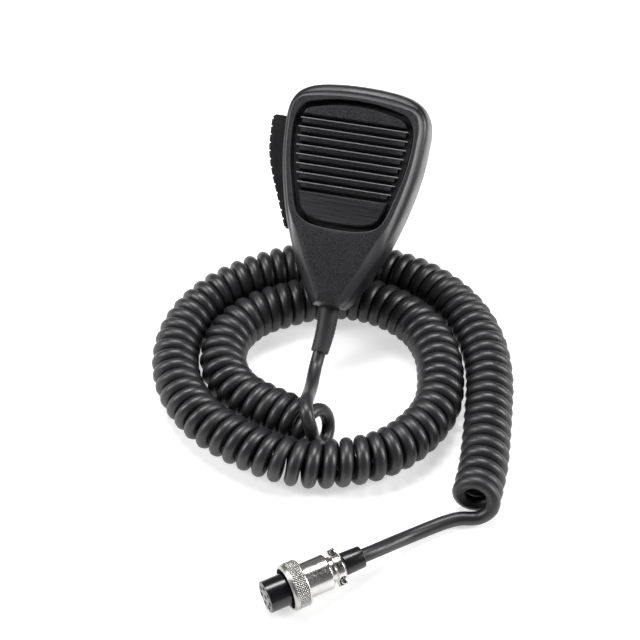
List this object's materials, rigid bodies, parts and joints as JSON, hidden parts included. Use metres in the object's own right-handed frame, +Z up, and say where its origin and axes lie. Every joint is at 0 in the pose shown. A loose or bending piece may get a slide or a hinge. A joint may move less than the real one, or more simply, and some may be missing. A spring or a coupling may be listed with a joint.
{
  "type": "hand microphone",
  "caption": "Push-to-talk hand microphone with a louvred grille, a side key, a curly cord and a round metal plug, laid on a table.",
  "frame": {"origin": "on the table, under the inner turn of the coiled cord behind the microphone's foot, on the coil's flat underside", "axes": "+Z up from the table; +Y away from the viewer, the way the microphone leans back, its longest side; +X to the right across the grille"},
  "size_m": [0.1518, 0.2103, 0.0916],
  "materials": {
    "shell_plastic": "fine textured charcoal black moulding",
    "grille_plastic": "fine textured black moulding",
    "label_plate": "dark brushed plate, unprinted",
    "key_plastic": "black, smooth with moulded grip grooves",
    "cord_rubber": "semi-gloss dark grey cord jacket",
    "relief_rubber": "matte dark grey moulding",
    "felt": "black acoustic cloth",
    "circuit_board": "green solder resist",
    "inner_plastic": "black",
    "inner_rubber": "soft black",
    "steel": "zinc-plated steel",
    "nickel": "bright nickel plate",
    "insert_plastic": "gloss black",
    "contact_brass": "brass"
  },
  "bodies": {
    "case": {"board_screw_1": "steel", "board_screw_2": "steel", "button_screw": "steel", "cartridge_boot": "inner_rubber", "case_screw_1": "steel", "case_screw_2": "steel", "case_screw_3": "steel", "case_screw_4": "steel", "circuit_board": "circuit_board", "clamp_base": "nickel", "clamp_saddle": "nickel", "clamp_screw_1": "steel", "clamp_screw_2": "steel", "coiled_cord": "cord_rubber", "cord_clamp": "steel", "cord_to_mic": "cord_rubber", "cord_to_plug": "cord_rubber", "dust_screen": "felt", "front_shell": "shell_plastic", "grille_panel": "grille_plastic", "hanger_button": "nickel", "label_plate": "label_plate", "mic_cartridge": "steel", "plug_shell": "nickel", "plug_sleeve": "relief_rubber", "preamp_chip": "inner_plastic", "ptt_pivot_pin": "steel", "ptt_switch": "inner_plastic", "rear_cover": "shell_plastic", "socket_contact_1": "contact_brass", "socket_contact_2": "contact_brass", "socket_contact_3": "contact_brass", "socket_contact_4": "contact_brass", "socket_contact_5": "contact_brass", "socket_contact_6": "contact_brass", "socket_contact_7": "contact_brass", "socket_contact_8": "contact_brass", "socket_insert": "insert_plastic", "strain_relief": "relief_rubber", "wire_bundle": "inner_rubber"},
    "ptt_key": {"ptt_key": "key_plastic", "ptt_spring": "steel"},
    "plunger": {"switch_plunger": "inner_rubber"},
    "coupling_ring": {"coupling_ring": "nickel"}
  },
  "joints": [
    {"name": "ptt_press", "type": "hinge", "parent": "case", "child": "ptt_key", "pos_m": [-0.01559, 0.00471, 0.04284], "axis": [0, 0.6691, -0.7431], "range_deg": [0, 3], "stiffness_Nm_per_rad": 0.8, "springref_deg": -5.73},
    {"name": "plunger_slide", "type": "slide", "parent": "case", "child": "plunger", "axis": [1, 0, 0], "range_m": [0, 0.0016]},
    {"name": "ring_spin", "type": "hinge", "parent": "case", "child": "coupling_ring", "pos_m": [0.01487, -0.14319, 0.009], "axis": [0.7716, 0.6361, 0], "continuous": true}
  ],
  "couplings": [
    {"joint": "plunger_slide", "follows": "ptt_press", "m_per_rad": 0.02976}
  ]
}
